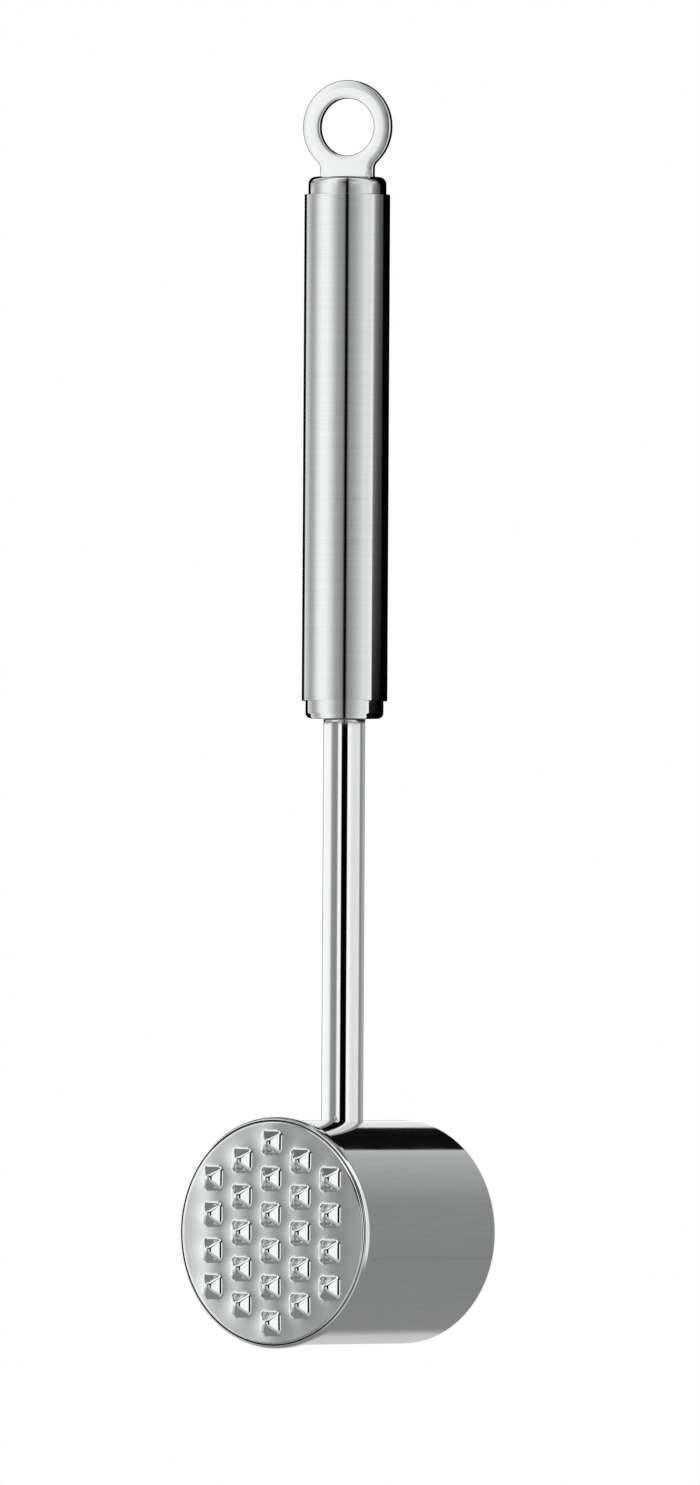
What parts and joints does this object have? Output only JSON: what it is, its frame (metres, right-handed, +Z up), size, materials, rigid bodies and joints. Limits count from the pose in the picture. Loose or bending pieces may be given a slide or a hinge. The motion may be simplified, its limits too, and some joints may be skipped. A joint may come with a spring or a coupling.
{
  "type": "meat mallet",
  "caption": "Stainless steel meat mallet with a tubular handle, hanging eye, slim round shaft and a drum head, one face studded with pyramids and one face smooth.",
  "frame": {"origin": "centre of the hanging hole in the eye at the top of the handle", "axes": "+Z up the handle, away from the head; +Y out of the smooth face of the head; the studded face looks to -Y"},
  "size_m": [0.0484, 0.051, 0.2663],
  "materials": {
    "satin_steel": "fine satin turned round the handle",
    "polished_steel": "mirror polished stainless steel",
    "plain_steel": "turned, not polished"
  },
  "bodies": {
    "root": {"hanging_eye": "polished_steel", "eye_cross_pin": "plain_steel", "handle_top_cap": "satin_steel", "handle_tube": "satin_steel", "handle_bottom_cap": "satin_steel", "shaft": "polished_steel", "shaft_weld_bead": "polished_steel", "shaft_centring_bush": "plain_steel", "shaft_washer": "plain_steel", "shaft_lock_nut": "plain_steel", "head_sleeve": "polished_steel", "head_rim_ring": "polished_steel", "studded_plate": "polished_steel", "smooth_plate": "polished_steel", "head_core": "plain_steel", "shaft_lock_pin": "plain_steel"}
  },
  "joints": []
}
